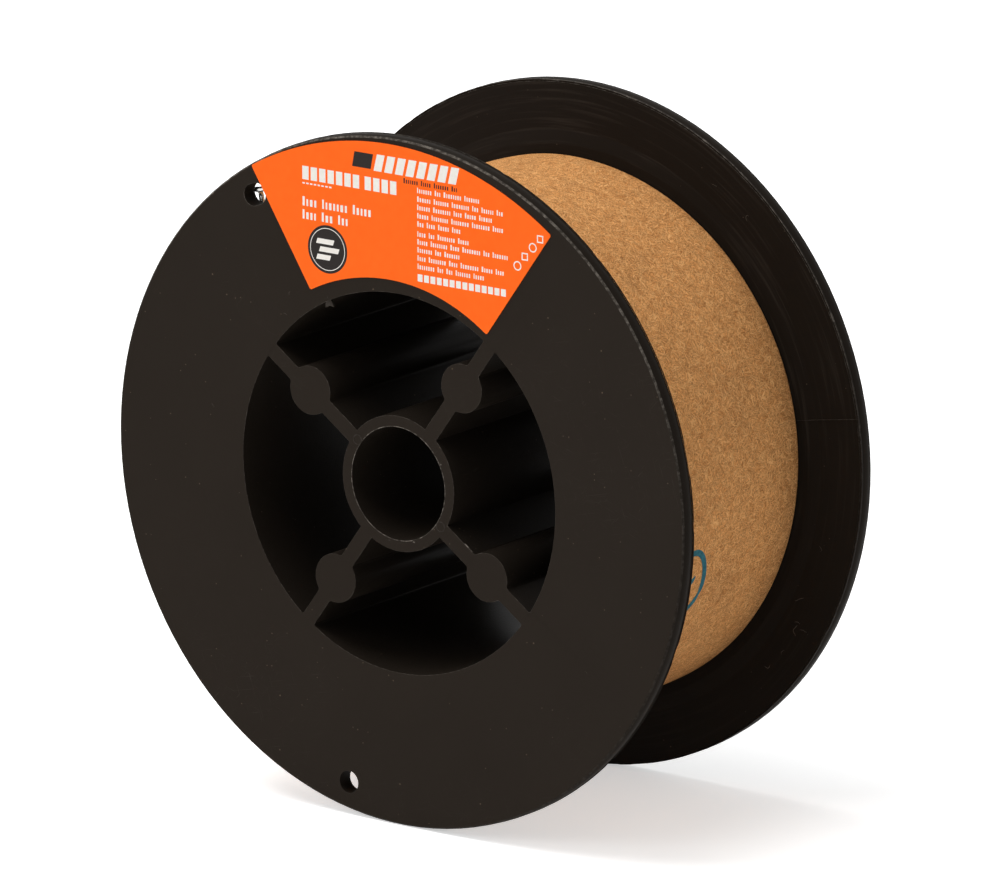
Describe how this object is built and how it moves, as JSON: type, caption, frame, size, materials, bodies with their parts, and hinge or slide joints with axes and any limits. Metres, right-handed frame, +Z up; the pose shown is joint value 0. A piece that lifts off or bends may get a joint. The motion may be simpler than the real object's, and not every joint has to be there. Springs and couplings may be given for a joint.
{
  "type": "welding wire spool",
  "caption": "Small plastic spool of MIG welding wire with two flanges, a webbed hub with a through bore, and a paper-wrapped coil between the flanges.",
  "frame": {"origin": "centre of the spindle bore, halfway between the two flanges", "axes": "+Y along the bore from the labelled flange to the plain one, +Z up with the label on top, +X to the right as seen from the labelled side"},
  "size_m": [0.1004, 0.0451, 0.1005],
  "materials": {
    "spool_plastic": "moulded black plastic, lightly scuffed",
    "steel_wire": "bright drawn wire",
    "kraft_paper": "plain brown kraft paper",
    "label_paper": "satin orange sticker"
  },
  "bodies": {
    "root": {"spool_body": "spool_plastic", "wire_coil": "steel_wire", "kraft_wrap": "kraft_paper", "label": "label_paper", "wire_end": "steel_wire"}
  },
  "joints": []
}
